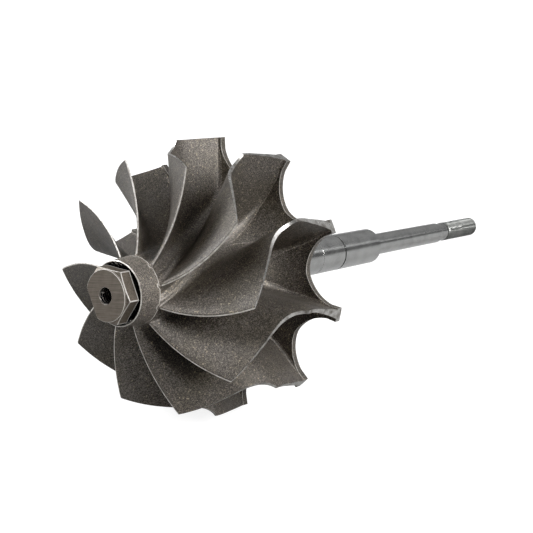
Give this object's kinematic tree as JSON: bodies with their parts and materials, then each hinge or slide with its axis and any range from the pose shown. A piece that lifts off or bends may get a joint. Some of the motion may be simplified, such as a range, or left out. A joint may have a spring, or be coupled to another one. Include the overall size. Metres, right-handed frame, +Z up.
{
  "type": "turbocharger turbine wheel with shaft",
  "caption": "Radial turbine wheel of a turbocharger: hexagonal nose, twisted blades on a scalloped back disc, and a stepped steel shaft with a threaded end.",
  "frame": {"origin": "centre of the bounding box at floor level; the part lies on two neighbouring blade tips and the edge of the shaft's end", "axes": "+Z up, +Y level and along the part towards the shaft's threaded end, so the nose faces -Y; the wheel's own axis lies in the YZ plane and dips about 13 degrees towards the shaft's end"},
  "size_m": [0.068, 0.1728, 0.0678],
  "materials": {
    "cast_alloy": "grit-blasted cast nickel alloy, dark brown-grey with a fine sparkle",
    "machined_nose": "turned face with fine marks, slightly brown",
    "ground_steel": "ground bright steel with fine rings round it"
  },
  "bodies": {
    "root": {"hex_nose": "machined_nose", "hub": "cast_alloy", "blade_01": "cast_alloy", "blade_02": "cast_alloy", "blade_03": "cast_alloy", "blade_04": "cast_alloy", "blade_05": "cast_alloy", "blade_06": "cast_alloy", "blade_07": "cast_alloy", "blade_08": "cast_alloy", "blade_09": "cast_alloy", "blade_10": "cast_alloy", "disc_lobe_01": "cast_alloy", "disc_lobe_02": "cast_alloy", "disc_lobe_03": "cast_alloy", "disc_lobe_04": "cast_alloy", "disc_lobe_05": "cast_alloy", "disc_lobe_06": "cast_alloy", "disc_lobe_07": "cast_alloy", "disc_lobe_08": "cast_alloy", "disc_lobe_09": "cast_alloy", "disc_lobe_10": "cast_alloy", "shaft": "ground_steel"}
  },
  "joints": []
}
